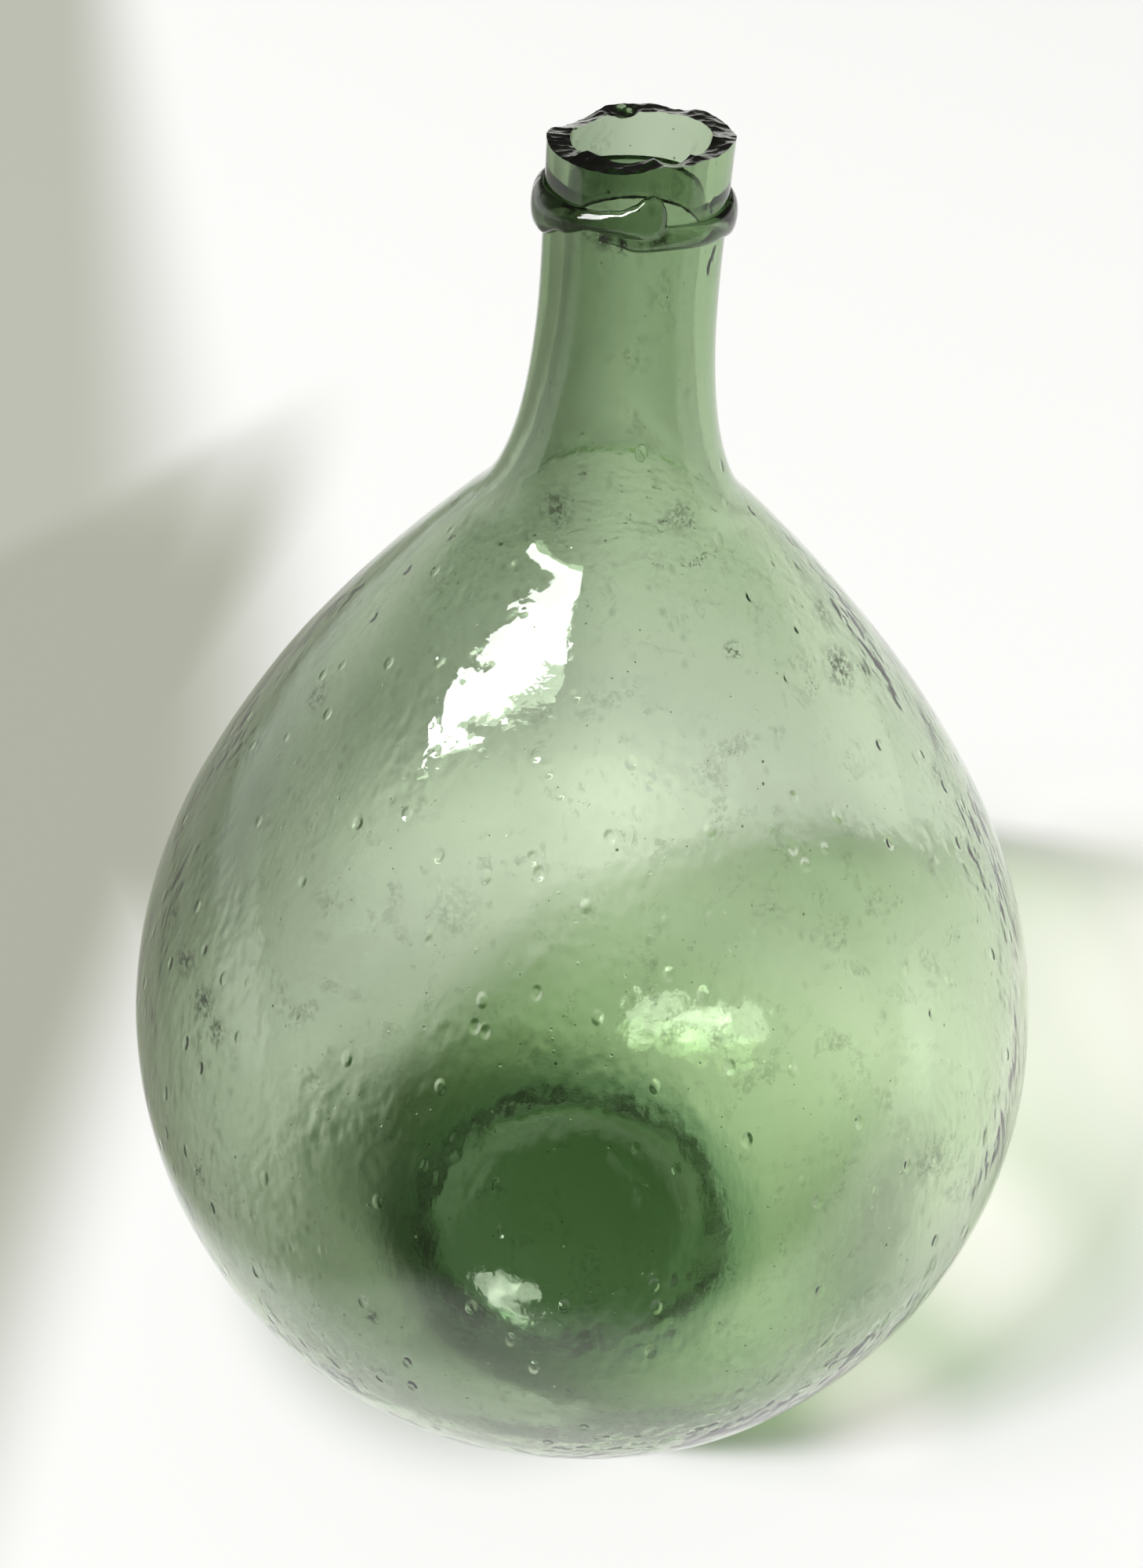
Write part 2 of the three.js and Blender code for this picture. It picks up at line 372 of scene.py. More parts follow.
def spots_of(tree, place, cell, radius, edge=0.3):
    """Round spots of about this radius, in metres, scattered one to a cell of this size.
    Most cells' middles lie off the glass, so only some of them show."""
    node = tree.nodes.new("ShaderNodeTexVoronoi")
    node.inputs["Scale"].default_value = 1 / cell
    wire(tree, place, node.inputs["Vector"])
    reach = radius / cell
    return ramp_of(tree, node.outputs["Distance"], reach, reach * edge)


def far_from(tree, place, point):
    node = tree.nodes.new("ShaderNodeVectorMath")
    node.operation = "DISTANCE"
    node.inputs[1].default_value = point
    wire(tree, place, node.inputs[0])
    return node.outputs["Value"]


# What blowing leaves on hot glass: the scale of each pattern and the height of its marks.
# All places and heights in the materials are in metres.
wave_scale, wave_height = 42.0, 0.00022
dimple_scale, dimple_height = 165.0, 0.00034
ripple_scale, ripple_height = 620.0, 0.000012
string_scales, string_height = (330.0, 330.0, 24.0), 0.00003
patch_scale = 16.0
drawn_out = (1, 1, 0.55)

# Pits and seeds: the room that each has, its radius, and its height
pit_cell, pit_radius, pit_height = 0.0135, 0.0020, -0.00022
seed_cell, seed_radius, seed_height = 0.0075, 0.00055, 0.00008


def blown_surface_group():
    """Slow waves, dimples in patches that end below the neck, fine ripples, strings drawn out
    along the bottle, shallow pits, and seeds, which are small bubbles."""
    group, start, end = new_group("blown surface", [("Place", "NodeSocketVector", None)],
                                  [("Height", "NodeSocketFloat")])
    place = start.outputs["Place"]
    drawn = stretched(group, place, drawn_out)
    strung = stretched(group, place, string_scales)
    high = group.nodes.new("ShaderNodeSeparateXYZ")
    wire(group, place, high.inputs[0])
    patches = ramp_of(group, grain_of(group, place, patch_scale), 0.45, 0.62, 0.15, 1.0)
    below_neck = ramp_of(group, high.outputs["Z"], 0.40, 0.33, 0.12, 1.0)
    patches = maths(group, "MULTIPLY", patches, below_neck)
    dimples = maths(group, "MULTIPLY", grain_of(group, drawn, dimple_scale, 1.0), dimple_height)
    parts = [
        maths(group, "MULTIPLY", grain_of(group, place, wave_scale, 1.0), wave_height),
        maths(group, "MULTIPLY", dimples, patches),
        maths(group, "MULTIPLY", grain_of(group, place, ripple_scale), ripple_height),
        maths(group, "MULTIPLY", grain_of(group, strung, 1.0), string_height),
        maths(group, "MULTIPLY", spots_of(group, drawn, pit_cell, pit_radius), pit_height),
        maths(group, "MULTIPLY", spots_of(group, place, seed_cell, seed_radius), seed_height),
    ]
    height = parts[0]
    for part in parts[1:]:
        height = maths(group, "ADD", height, part)
    wire(group, height, end.inputs["Height"])
    return group


# Stains that stand out, and painted shade in the gap under the thread: the turn and the height of each,
# its reach, and how dark it is, with the share of its reach that is darkest
stain_core = 0.2
stains_and_thread_shade = [
    (70.3, 326.7, 11.0, 1.0), (38.8, 345.5, 4.5, 1.0), (-25.6, 378.9, 8.0, 1.0),
    (39.0, 375.9, 7.0, 0.9), (-69.1, 232.4, 8.0, 0.9), (-61.4, 231.3, 9.0, 1.0),
    (-54.3, 229.2, 9.0, 1.0), (-50.0, 227.3, 7.0, 1.0), (-47.5, 176.8, 7.0, 1.0),
    (-20.9, 169.6, 4.5, 1.0), (-69.5, 312.0, 8.0, 0.8), (79.9, 337.2, 9.0, 0.6),
    (78.6, 285.2, 7.0, 0.7), (45.0, 203.0, 12.0, 0.5), (-20.0, 291.0, 12.0, 0.2),
    # Painted shade: these five, at the front of the neck where the thread laps over its start, darken
    # the gap under it
    (-34.0, 453.5, 4.0, 0.8), (-22.0, 453.0, 4.5, 1.0), (-10.0, 452.0, 4.5, 1.0),
    (1.0, 451.0, 4.0, 1.0), (24.0, 452.5, 4.0, 1.0),
]


def on_glass(turn, height):
    """The place on the outside of the bottle at a turn and a height, in metres."""
    outline, lip_first, _ = bottle_outline()
    side = [p for p in outline[:lip_first] if p.y > heel_round]
    radius = min(side, key=lambda p: abs(p.y - height)).x
    angle = math.radians(turn)
    return Vector((radius * math.sin(angle), -radius * math.cos(angle), height)) * metres


# The scale of the patterns of age, and how dark the faint stains and the smudges are
faint_stain_scale, faint_stain_dark = 70.0, 0.32
stain_grain_scale = 420.0
fine_speck_cell, fine_speck_radius = 0.0072, 0.00030
coarse_speck_cell, coarse_speck_radius = 0.016, 0.0006
speck_edge = 0.6
smudge_cell, smudge_radius, smudge_edge, smudge_dark = 0.0072, 0.0016, 0.2, 0.36
smudge_drawn_out = (1, 1, 0.4)
cloud_scale = 13.0
dirt_patch_scale = 60.0
cloud_film, stain_film = 0.03, 0.3

# What the glass is tinted by, over its own green: deeper where it is thick, and painted shade at the
# left, low at the right and in the foot
white = (1, 1, 1, 1)
neck_tint = (0.71, 0.75, 0.70, 1)
left_painted_shade = (0.42, 0.46, 0.40, 1)
neck_left_painted_shade = (0.42, 0.46, 0.41, 1)
low_right_painted_shade = (0.44, 0.46, 0.45, 1)
foot_tint_and_shade = (0.66, 0.78, 0.76, 1)
dirt_and_shade = (0.07, 0.075, 0.055, 1)


def product_of(tree, *values):
    """All these shares multiplied together."""
    product = values[0]
    for value in values[1:]:
        product = maths(tree, "MULTIPLY", product, value)
    return product


def tint_and_painted_shade(group, x, y, high, from_axis):
    """The tint at a place: deeper up the neck and in the thick foot, and painted shade at the left,
    at the left of the neck, low at the right and in the foot. Each comes in between two places, in
    metres."""
    at_neck = ramp_of(group, high, 0.23, 0.42)
    at_left = product_of(group, ramp_of(group, x, 0.01, -0.15), ramp_of(group, high, 0.09, 0.19),
                         ramp_of(group, high, 0.36, 0.25, 0.5, 1.0))
    neck_left = product_of(group, ramp_of(group, x, 0.010, -0.022), at_neck)
    low_right = product_of(group, ramp_of(group, x, 0.075, 0.135), ramp_of(group, y, 0.06, -0.02),
                           ramp_of(group, high, 0.11, 0.05))
    at_foot = product_of(group, ramp_of(group, from_axis, 0.090, 0.070),
                         ramp_of(group, high, 0.045, 0.03))
    tint = blend_of(group, at_neck, white, neck_tint)
    tint = blend_of(group, at_left, tint, left_painted_shade)
    tint = blend_of(group, neck_left, tint, neck_left_painted_shade)
    tint = blend_of(group, low_right, tint, low_right_painted_shade)
    return blend_of(group, at_foot, tint, foot_tint_and_shade)


def stain_and_shade_marks(group, place):
    """Faint stains at random, the ones that stand out, and painted shade in the gap under the thread,
    all of fine grains.
    """
    faint = ramp_of(group, grain_of(group, place, faint_stain_scale, 3.0), 0.60, 0.70)
    marks = maths(group, "MULTIPLY", faint, faint_stain_dark)
    for turn, height, reach, dark in stains_and_thread_shade:
        reach = reach * metres
        away = far_from(group, place, on_glass(turn, height))
        stain_and_shade_spot = ramp_of(group, away, reach, reach * stain_core, 0.0, dark)
        marks = maths(group, "MAXIMUM", marks, stain_and_shade_spot)
    grains = ramp_of(group, grain_of(group, place, stain_grain_scale, 3.0, 0.7), 0.46, 0.57)
    return maths(group, "MULTIPLY", marks, grains)


def speck_marks(group, place):
    fine = spots_of(group, place, fine_speck_cell, fine_speck_radius, speck_edge)
    coarse = spots_of(group, place, coarse_speck_cell, coarse_speck_radius, speck_edge)
    return maths(group, "MAXIMUM", fine, coarse)


def resting_ring_dirt(group, place, high, from_axis):
    """The dirt along the ring that the bottle stands on, in patches."""
    inner_edge = ramp_of(group, from_axis, 0.058, 0.064)
    outer_edge = ramp_of(group, from_axis, 0.073, 0.067)
    grains = grain_of(group, place, dirt_patch_scale, 4.0, 0.7)
    patches = ramp_of(group, grains, 0.40, 0.62, 0.25, 0.85)
    return product_of(group, inner_edge, outer_edge, ramp_of(group, high, 0.012, 0.006), patches)


def old_glass_and_shade_group():
    """What age leaves on it: smudges drawn out along the bottle, stains of fine grains, and dark specks
    no wider than a pin's head, with painted shade in the gap under the thread. It holds the tint of the
    thick glass as well, and the painted shade at the left, low at the right and in the foot."""
    group, start, end = new_group("old glass and painted shade", [("Place", "NodeSocketVector", None)],
                                  [("Colour", "NodeSocketColor"), ("Film", "NodeSocketFloat")])
    place = start.outputs["Place"]
    split = group.nodes.new("ShaderNodeSeparateXYZ")
    wire(group, place, split.inputs[0])
    x, y, high = split.outputs
    from_axis = far_from(group, stretched(group, place, (1, 1, 0)), (0, 0, 0))
    tint = tint_and_painted_shade(group, x, y, high, from_axis)
    clouds = ramp_of(group, grain_of(group, place, cloud_scale, 4.0, 0.6), 0.42, 0.62)
    stains_and_shade = stain_and_shade_marks(group, place)
    drawn = stretched(group, place, smudge_drawn_out)
    spots = spots_of(group, drawn, smudge_cell, smudge_radius, smudge_edge)
    smudges = product_of(group, spots, clouds, smudge_dark)
    soiled_and_shaded = speck_marks(group, place)
    for marks in (stains_and_shade, smudges, resting_ring_dirt(group, place, high, from_axis)):
        soiled_and_shaded = maths(group, "MAXIMUM", soiled_and_shaded, marks)
    wire(group, blend_of(group, soiled_and_shaded, tint, dirt_and_shade), end.inputs["Colour"])
    film = maths(group, "MULTIPLY", clouds, cloud_film)
    wire(group, maths(group, "MULTIPLY_ADD", stains_and_shade, stain_film, film), end.inputs["Film"])
    return group


blown_surface = blown_surface_group()
old_glass_and_shade = old_glass_and_shade_group()

# How glass bends light, and how clear it is to lamps, face on and where it turns away
glass_ior = 1.52
clear_face = (0.98, 0.98, 0.98, 1)
clear_edge = (0.72, 0.72, 0.72, 1)
clear_edge_from = 0.45


def see_through_for_lamps(tree, shader, facing):
    """The bottle is a thin shell, so lamps shine straight through it, and a little less so
    where its face turns away. Its depth greens them."""
    unbent = tree.nodes.new("ShaderNodeBsdfTransparent")
    turned_away = ramp_of(tree, facing, clear_edge_from, 1.0)
    wire(tree, blend_of(tree, turned_away, clear_face, clear_edge), unbent.inputs["Color"])
    rays = tree.nodes.new("ShaderNodeLightPath")
    for kind in ("Is Diffuse Ray", "Is Shadow Ray"):
        choose = tree.nodes.new("ShaderNodeMixShader")
        wire(tree, rays.outputs[kind], choose.inputs[0])
        wire(tree, shader, choose.inputs[1])
        wire(tree, unbent.outputs[0], choose.inputs[2])
        shader = choose.outputs[0]
    return shader


def glass_material(name, colour, density, rim_shade_from, painted_rim_shade):
    """Green glass that darkens with its thickness. For each metre of the way through, the
    density times what the colour lacks of white is what it takes of each part of the light.
    Where the face turns away from the eye, shade is painted on: it nears the rim shade colour."""
    material = bpy.data.materials.new(name)
    material.use_nodes = True
    tree = material.node_tree
    nodes = tree.nodes
    principled = nodes["Principled BSDF"]
    principled.inputs["IOR"].default_value = glass_ior
    principled.inputs["Transmission Weight"].default_value = 1.0
    place = nodes.new("ShaderNodeTexCoord").outputs["Object"]
    ageing_and_shade = nodes.new("ShaderNodeGroup")
    ageing_and_shade.node_tree = old_glass_and_shade
    wire(tree, place, ageing_and_shade.inputs["Place"])
    facing = nodes.new("ShaderNodeLayerWeight").outputs["Facing"]
    rim_shade = blend_of(tree, ramp_of(tree, facing, rim_shade_from, 1.0), white, painted_rim_shade)
    colour_seen = blend_of(tree, 1.0, ageing_and_shade.outputs["Colour"], rim_shade, "MULTIPLY")
    wire(tree, colour_seen, principled.inputs["Base Color"])
    wire(tree, ageing_and_shade.outputs["Film"], principled.inputs["Roughness"])
    surface = nodes.new("ShaderNodeGroup")
    surface.node_tree = blown_surface
    wire(tree, place, surface.inputs["Place"])
    bump = nodes.new("ShaderNodeBump")
    bump.inputs["Distance"].default_value = 1.0
    wire(tree, surface.outputs["Height"], bump.inputs["Height"])
    wire(tree, bump.outputs[0], principled.inputs["Normal"])
    depth = nodes.new("ShaderNodeVolumeAbsorption")
    depth.inputs["Color"].default_value = colour
    depth.inputs["Density"].default_value = density
    wire(tree, depth.outputs[0], nodes["Material Output"].inputs["Volume"])
    shader = see_through_for_lamps(tree, principled.outputs[0], facing)
    wire(tree, shader, nodes["Material Output"].inputs["Surface"])
    return material


def new_object(name, mesh, *materials):
    """An object in the scene, at the origin."""
    made = bpy.data.objects.new(name, mesh)
    bpy.context.scene.collection.objects.link(made)
    for material in materials:
        made.data.materials.append(material)
    return made


# The bottle's glass: its colour and its density, and the shade painted on it where its face turns away
bottle_green, bottle_density = (0.53, 0.72, 0.385, 1), 118.0
bottle_rim_shade, bottle_rim_shade_from = (0.70, 0.68, 0.65, 1), 0.62

blown_glass = glass_material(
    "blown_green_glass", bottle_green, bottle_density, bottle_rim_shade_from, bottle_rim_shade)
bottle = new_object("demijohn_bottle", make_bottle(), blown_glass)
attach(bottle, "root")
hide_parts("bottle")


# The thread
# A thread of hot glass laid round the neck below the lip, which held the cork's string. It
# starts as a thin tip, thickens as it goes round, and laps over its own start at the front,
# where it was pinched off in a lobe. It is melted onto the neck.

# Its round, and the flat that a tool pressed on it between two turns
thread_fullness = 0.8
thread_flat = 0.3
thread_flat_slope = math.radians(34)
thread_flat_start = (292, 308)
thread_flat_end = (322, 356)

# How it is wound: the steps along it and round it, the share of the steps round it that are
# outside the neck, how deep, how wide and how soon the others sink in, the gap that stays,
# the steps that the neck is read in, and how near two points are one
thread_sides = 256
thread_around = 28
thread_outside = 0.7
thread_sunk = 1.2
thread_back_share = 0.9
thread_sinking = 8
thread_gap = 0.02
neck_reading_steps = 90
thread_merge = 0.0005

# How it is melted into one: the size of the voxels, in metres, and the smoothing
thread_voxel = 0.00035
thread_softness = 0.5
thread_smoothing = 6
thread_sharp = math.radians(50)

# The two stretches that it is wound in, as turns, which overlap at the back
thread_stretches = [(-22, 190), (180, 378)]

# At the back of the neck: how far its middle lies below the lip, half its height, and how
# far it stands off the neck
thread_back = (18.6, 5.4, 3.0)

# The same along its turn, each as a share of what it is at the back
thread_stations = [
    (-22, 1.03, 0.11, 0.17), (-13, 0.99, 0.30, 0.50), (2, 1.01, 0.50, 0.70), (20, 0.97, 0.59, 0.77),
    (58, 1.00, 0.63, 0.77), (90, 1.04, 0.93, 0.87), (180, 1.00, 1.00, 1.00), (270, 0.98, 1.19, 1.13),
    (290, 0.96, 1.06, 1.13), (313, 0.87, 0.70, 1.10), (334, 0.79, 0.50, 0.93), (350, 0.77, 0.59, 0.97),
    (358, 0.75, 0.81, 1.00), (364, 0.72, 1.07, 1.00), (369, 0.71, 1.15, 1.00), (373, 0.72, 1.04, 0.90),
    (376, 0.74, 0.78, 0.67), (378, 0.75, 0.37, 0.30),
]


def thread_at(turn):
    """The drop, the half height and the depth of the thread at a turn."""
    after = next(i for i, s in enumerate(thread_stations) if s[0] >= turn or s is thread_stations[-1])
    after = max(1, after)
    first, second = thread_stations[after - 1], thread_stations[after]
    share = ease(turn, first[0], second[0])
    shares = [between(a, b, share) for a, b in zip(first[1:], second[1:])]
    return [measure * part for measure, part in zip(thread_back, shares)]


def flattened_at(turn, up, half, depth):
    """How far the thread may stand off where the tool pressed its top flat at the front."""
    flat = thread_flat * ease(turn, *thread_flat_start) * (1 - ease(turn, *thread_flat_end))
    full = math.hypot(half * math.sin(thread_flat_slope), depth * math.cos(thread_flat_slope))
    if flat == 0:
        return depth
    return (full - flat - up * math.sin(thread_flat_slope)) / math.cos(thread_flat_slope)


def neck_outside(height):
    """The radius of the neck's outside at a height."""
    if height >= straight_start:
        return neck_radius
    flare = flare_curve(neck_reading_steps)
    return next((p.x for p in flare if p.y >= height), neck_radius)


def wind_thread(bm, first_turn, last_turn):
    """One stretch of the thread: a grid rolled up into a D-shaped tube along its turn."""
    steps = round((last_turn - first_turn) * thread_sides / 360)
    made = bmesh.ops.create_grid(bm, x_segments=steps, y_segments=thread_around, size=0.5)["verts"]
    low = min(v.co.x for v in made)
    high = max(v.co.x for v in made)
    for vert in made:
        turn = between(first_turn, last_turn, (vert.co.x - low) / (high - low))
        round_it = (vert.co.y - low) / (high - low)
        drop, half, depth = thread_at(turn)
        if round_it <= thread_outside:
            swing = math.pi * round_it / thread_outside
            height = lip_height - drop - half * math.cos(swing)
            out = depth * abs(math.sin(swing)) ** thread_fullness
            out = min(out, flattened_at(turn, -half * math.cos(swing), half, depth))
        else:
            share = (round_it - thread_outside) / (1 - thread_outside)
            height = lip_height - drop + half * (1 - 2 * share) * thread_back_share
            out = -thread_sunk * min(1.0, thread_sinking * min(share, 1 - share))
        radius = neck_outside(height) + out
        angle = math.radians(turn)
        vert.co = (radius * math.sin(angle) + lean_at(height), -radius * math.cos(angle), height)
    bmesh.ops.remove_doubles(bm, verts=made, dist=thread_merge)


def applied(made, name):
    """The mesh that an object's modifiers make, as a mesh of its own."""
    depsgraph = bpy.context.evaluated_depsgraph_get()
    mesh = bpy.data.meshes.new_from_object(made.evaluated_get(depsgraph))
    mesh.name = name
    return mesh


def make_thread():
    bm = bmesh.new()
    for first_turn, last_turn in thread_stretches:
        wind_thread(bm, first_turn, last_turn)
    open_edges = [edge for edge in bm.edges if edge.is_boundary]
    bmesh.ops.holes_fill(bm, edges=open_edges, sides=0)
    bmesh.ops.recalc_face_normals(bm, faces=bm.faces)
    wound = new_object("thread_wound", finished_mesh(bm, "thread_wound"))
    remesh = wound.modifiers.new("melt", "REMESH")
    remesh.mode = "VOXEL"
    remesh.voxel_size = thread_voxel
    smooth = wound.modifiers.new("soften", "SMOOTH")
    smooth.factor = thread_softness
    smooth.iterations = thread_smoothing
    mesh = applied(wound, "thread_melted")
    bpy.data.objects.remove(wound)
    return mesh


# The plug reaches past the thread both ways
neck_core_start = straight_start + 1
neck_core_end = lip_height + 8
neck_core_rows = 40


def make_neck_core():
    """The neck as a solid plug, a hair wider than the glass, which the thread is fitted on."""
    low, high = neck_core_start, neck_core_end
    wide = neck_radius + thread_gap
    bm = bmesh.new()
    side = [(wide, between(low, high, i / neck_core_rows)) for i in range(neck_core_rows + 1)]
    turn_round(bm, [bm.verts.new((x, 0, z)) for x, z in [(0, low)] + side + [(0, high)]])
    for vert in bm.verts:
        settle(vert, False)
    return finished_mesh(bm, "neck_core")


# The thread's glass, which is darker, and painted with shade nearly to black where its face turns away
thread_green, thread_density = (0.495, 0.62, 0.42, 1), 400.0
thread_rim_shade, thread_rim_shade_from = (0.07, 0.09, 0.08, 1), 0.18

wound_glass = glass_material(
    "wound_green_glass", thread_green, thread_density, thread_rim_shade_from, thread_rim_shade)
thread_solid = new_object("thread_solid", make_thread(), wound_glass)
neck_core = new_object("neck_core", make_neck_core())
fitting = thread_solid.modifiers.new("fitting", "BOOLEAN")
fitting.operation = "DIFFERENCE"
fitting.solver = "MANIFOLD"
fitting.object = neck_core
thread = new_object("demijohn_thread", applied(thread_solid, "demijohn_thread"))
bpy.data.objects.remove(thread_solid)
bpy.data.objects.remove(neck_core)
thread.data.shade_smooth()
thread.data.set_sharp_from_angle(angle=thread_sharp)
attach(thread, "root")
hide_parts("neck_thread")


# The floor
# A plain white sheet, in shade at the left. It keeps the bottle's green shadow, in the
# middle of which lies the light that the round glass gathers, painted on as a glow. In the
# glass's mirror the sheet ends below the camera, and beyond it the floor is painted dark, a painted
# reflection of the room.

floor_reach = 8000.0
floor_drop = 0.2
floor_roughness = 0.9
floor_sheen = 0.1

# Its colours, and where they lie in metres
sheet_white = (0.985, 0.985, 0.98, 1)
sheet_shaded = (0.43, 0.445, 0.37, 1)
sheet_under_heel = (0.17, 0.235, 0.14, 1)
heel_shade_middle = (-0.035, 0.0, 0)
heel_shade_reach = (0.13, 0.07)
heel_shade_dark = 0.85
sheet_end = (-0.36, -0.55)
dark_room = (0.105, 0.105, 0.09, 1)

# The light that the glass gathers, painted on the floor as a glow: the middle of each patch, its reach
# and its colour, with the share of its reach that is brightest
glow_core = 0.15
floor_glows = [
    ((0.135, 0.09, 0), 0.12, (0.24, 0.25, 0.20, 1)),
    ((0.33, 0.14, 0), 0.21, (0.30, 0.24, 0.27, 1)),
    ((0.175, 0.0, 0), 0.07, (0.34, 0.26, 0.32, 1)),
    ((0.125, -0.075, 0), 0.045, (0.22, 0.16, 0.20, 1)),
    ((-0.03, 0.27, 0), 0.15, (0.30, 0.32, 0.26, 1)),
]


def shade_on_floor(tree, x, y):
    """The shade that falls in from the left: beside and behind the bottle, and a straight
    one beyond a slanting line farther away. It fades out far off."""
    beyond = ramp_of(tree, maths(tree, "MULTIPLY_ADD", x, -1.59, y), 1.14, 1.24)
    slanted = maths(tree, "MULTIPLY_ADD", y, 0.22, x)
    behind = product_of(tree, ramp_of(tree, slanted, -0.05, -0.20), ramp_of(tree, y, 0.08, 0.22),
                        ramp_of(tree, y, 0.90, 0.52))
    beside = product_of(tree, ramp_of(tree, x, -0.19, -0.27), ramp_of(tree, y, 0.85, 0.48))
    near_shade = maths(tree, "MAXIMUM", behind, beside)
    near_part = maths(tree, "MULTIPLY", near_shade, maths(tree, "SUBTRACT", 1.0, beyond))
    far_slanted = maths(tree, "MULTIPLY_ADD", y, 0.30, x)
    far_shade = ramp_of(tree, far_slanted, -0.06, -0.22, 0.0, 0.86)
    shade = maths(tree, "MULTIPLY_ADD", far_shade, beyond, near_part)
    return product_of(tree, shade, ramp_of(tree, x, -1.6, -0.9), ramp_of(tree, y, 3.6, 2.2))


def light_gathered(tree, place):
    gathered = (0, 0, 0, 1)
    for middle, reach, colour in floor_glows:
        near_middle = ramp_of(tree, far_from(tree, place, middle), reach, reach * glow_core)
        gathered = blend_of(tree, near_middle, gathered, colour, "ADD")
    return gathered


def mirrored_share(tree, rays):
    """One for what the glass mirrors, and nought for what is seen straight or through it."""
    return maths(tree, "MINIMUM", rays.outputs["Glossy Depth"], 1.0)


def floor_material():
    material = bpy.data.materials.new("floor_paint")
    material.use_nodes = True
    tree = material.node_tree
    principled = tree.nodes["Principled BSDF"]
    place = tree.nodes.new("ShaderNodeTexCoord").outputs["Object"]
    split = tree.nodes.new("ShaderNodeSeparateXYZ")
    wire(tree, place, split.inputs[0])
    x, y, _ = split.outputs
    paint = blend_of(tree, shade_on_floor(tree, x, y), sheet_white, sheet_shaded)
    from_heel = far_from(tree, place, heel_shade_middle)
    under_heel = ramp_of(tree, from_heel, *heel_shade_reach, 0.0, heel_shade_dark)
    paint = blend_of(tree, under_heel, paint, sheet_under_heel)
    mirrored = mirrored_share(tree, tree.nodes.new("ShaderNodeLightPath"))
    # Painted reflection: where the glass mirrors it beyond the sheet's end, the floor takes the dark
    # room's colour
    past_end = maths(tree, "MULTIPLY", mirrored, ramp_of(tree, y, *sheet_end))
    wire(tree, blend_of(tree, past_end, paint, dark_room), principled.inputs["Base Color"])
    wire(tree, light_gathered(tree, place), principled.inputs["Emission Color"])
    principled.inputs["Emission Strength"].default_value = 1.0
    principled.inputs["Roughness"].default_value = floor_roughness
    principled.inputs["Specular IOR Level"].default_value = floor_sheen
    return material


def make_floor():
    bm = bmesh.new()
    bmesh.ops.create_grid(bm, x_segments=1, y_segments=1, size=floor_reach)
    bmesh.ops.translate(bm, vec=(0, 0, -floor_drop), verts=bm.verts)
    return finished_mesh(bm, "floor")


floor = new_object("floor", make_floor(), floor_material())


# The light
# A wide soft window with a brighter core, at the left of the camera. In the glass's mirror
# the room is dark but for what lies low down beyond the bottle. Straight and through the
# glass it is pale all round.

# The window: the turn and the angle up of its two ends, its height as an angle, how far away
# it hangs in metres, what it faces, and how bright it is. Its core: its share of the size,
# how much nearer it hangs, and how bright it is.
window_right = (-26.0, 54.0)
window_left = (-74.0, 31.0)
window_height_angle = 9.0
window_away = 60.0
window_faces = Vector((0, 0, 0.3))
window_level = 17.0
core_share = 0.35
core_nearer = 0.5
core_level = 145.0

# The room's colours, and where the mirrored backdrop comes in, by how far up and how far
# back the direction goes
pale_room = (0.96, 0.96, 0.96, 1)
pale_backdrop = (1.15, 1.15, 1.08, 1)
backdrop_top = (0.42, 0.06)
backdrop_side = (-0.25, 0.35)
mirror_bounces = 12


def towards(turn, up):
    """The direction at a turn from the front towards +X and an angle up, both in degrees."""
    turn, up = math.radians(turn), math.radians(up)
    return Vector((math.sin(turn) * math.cos(up), -math.cos(turn) * math.cos(up), math.sin(up)))


right_end, left_end = towards(*window_right), towards(*window_left)
window_middle = (right_end + left_end).normalized()
window_along = (right_end - left_end).normalized()
window_axes = Matrix((window_along, window_middle.cross(window_along), window_middle)).transposed()


def hang_window(name, share, level, away):
    """A lit rectangle that takes up a share of the window's width and height."""
    data = bpy.data.lights.new(name, "AREA")
    data.shape = "RECTANGLE"
    data.size = 2 * away * math.tan(right_end.angle(left_end) / 2) * share
    data.size_y = 2 * away * math.tan(math.radians(window_height_angle) / 2) * share
    data.energy = level * math.pi * data.size * data.size_y
    window = bpy.data.objects.new(name, data)
    bpy.context.scene.collection.objects.link(window)
    place = window_faces + away * window_middle
    window.matrix_world = Matrix.Translation(place) @ window_axes.to_4x4()


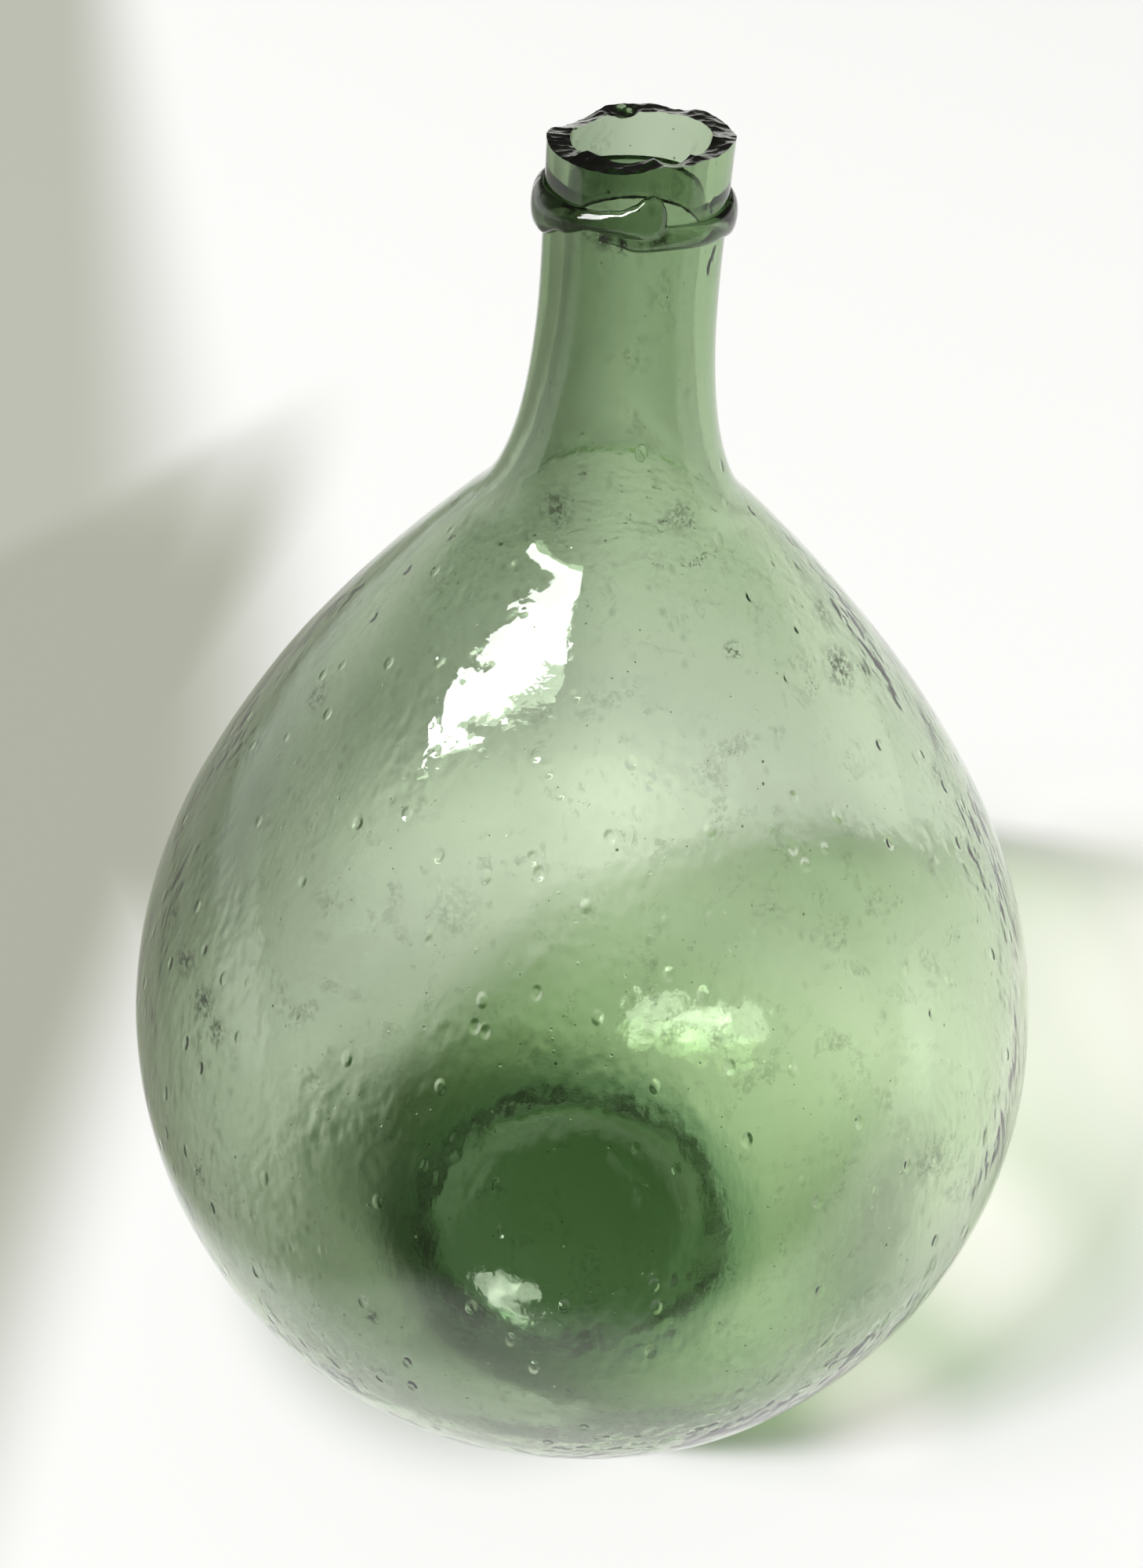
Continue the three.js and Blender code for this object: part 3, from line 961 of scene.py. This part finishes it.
def room_world():
    """A dark room with a pale backdrop, for the mirror and the floor, and a pale one for
    what is seen straight or through the glass."""
    world = bpy.data.worlds.new("room")
    world.use_nodes = True
    tree = world.node_tree
    nodes = tree.nodes
    seen = nodes["Background"]
    seen.inputs["Color"].default_value = pale_room
    mirrored = nodes.new("ShaderNodeBackground")
    split = nodes.new("ShaderNodeSeparateXYZ")
    wire(tree, nodes.new("ShaderNodeTexCoord").outputs["Generated"], split.inputs[0])
    _, y, z = split.outputs
    backdrop = product_of(tree, ramp_of(tree, z, *backdrop_top), ramp_of(tree, y, *backdrop_side))
    wire(tree, blend_of(tree, backdrop, dark_room, pale_backdrop), mirrored.inputs["Color"])
    rays = nodes.new("ShaderNodeLightPath")
    unmirrored = maths(tree, "SUBTRACT", 1.0, mirrored_share(tree, rays))
    through_glass = maths(tree, "MULTIPLY", rays.outputs["Is Transmission Ray"], unmirrored)
    choose = nodes.new("ShaderNodeMixShader")
    wire(tree, maths(tree, "MAXIMUM", rays.outputs["Is Camera Ray"], through_glass), choose.inputs[0])
    wire(tree, mirrored.outputs[0], choose.inputs[1])
    wire(tree, seen.outputs[0], choose.inputs[2])
    wire(tree, choose.outputs[0], nodes["World Output"].inputs["Surface"])
    return world


hang_window("window", 1.0, window_level, window_away)
hang_window("window_core", core_share, core_level, window_away - core_nearer)
bpy.context.scene.world = room_world()
bpy.context.scene.view_settings.view_transform = "Standard"
bpy.context.scene.cycles.glossy_bounces = mirror_bounces


# The camera
# Held a little above the lip and close to it, looking down at the bottle, and rolled so
# that the bottle leans to the right in the picture.

camera_place = Vector((0, -0.4084, 0.6016))
camera_pitch = math.radians(40.39)
camera_yaw = math.radians(-0.99)
camera_roll = math.radians(2.14)
camera_sensor = 36.0
camera_lens = 36.0
camera_near = 0.01

ahead = Vector((math.sin(camera_yaw) * math.cos(camera_pitch),
                math.cos(camera_yaw) * math.cos(camera_pitch), -math.sin(camera_pitch)))
level_right = Vector((math.cos(camera_yaw), -math.sin(camera_yaw), 0))
level_up = level_right.cross(ahead)
right = level_right * math.cos(camera_roll) + level_up * math.sin(camera_roll)
up = level_up * math.cos(camera_roll) - level_right * math.sin(camera_roll)
camera_data = bpy.data.cameras.new("camera")
camera_data.sensor_fit = "AUTO"
camera_data.sensor_width = camera_sensor
camera_data.lens = camera_lens
camera_data.clip_start = camera_near
camera = bpy.data.objects.new("camera", camera_data)
bpy.context.scene.collection.objects.link(camera)
camera_axes = Matrix((right, up, -ahead)).transposed()
camera.matrix_world = Matrix.Translation(camera_place) @ camera_axes.to_4x4()
bpy.context.scene.camera = camera

bpy.context.view_layer.update()
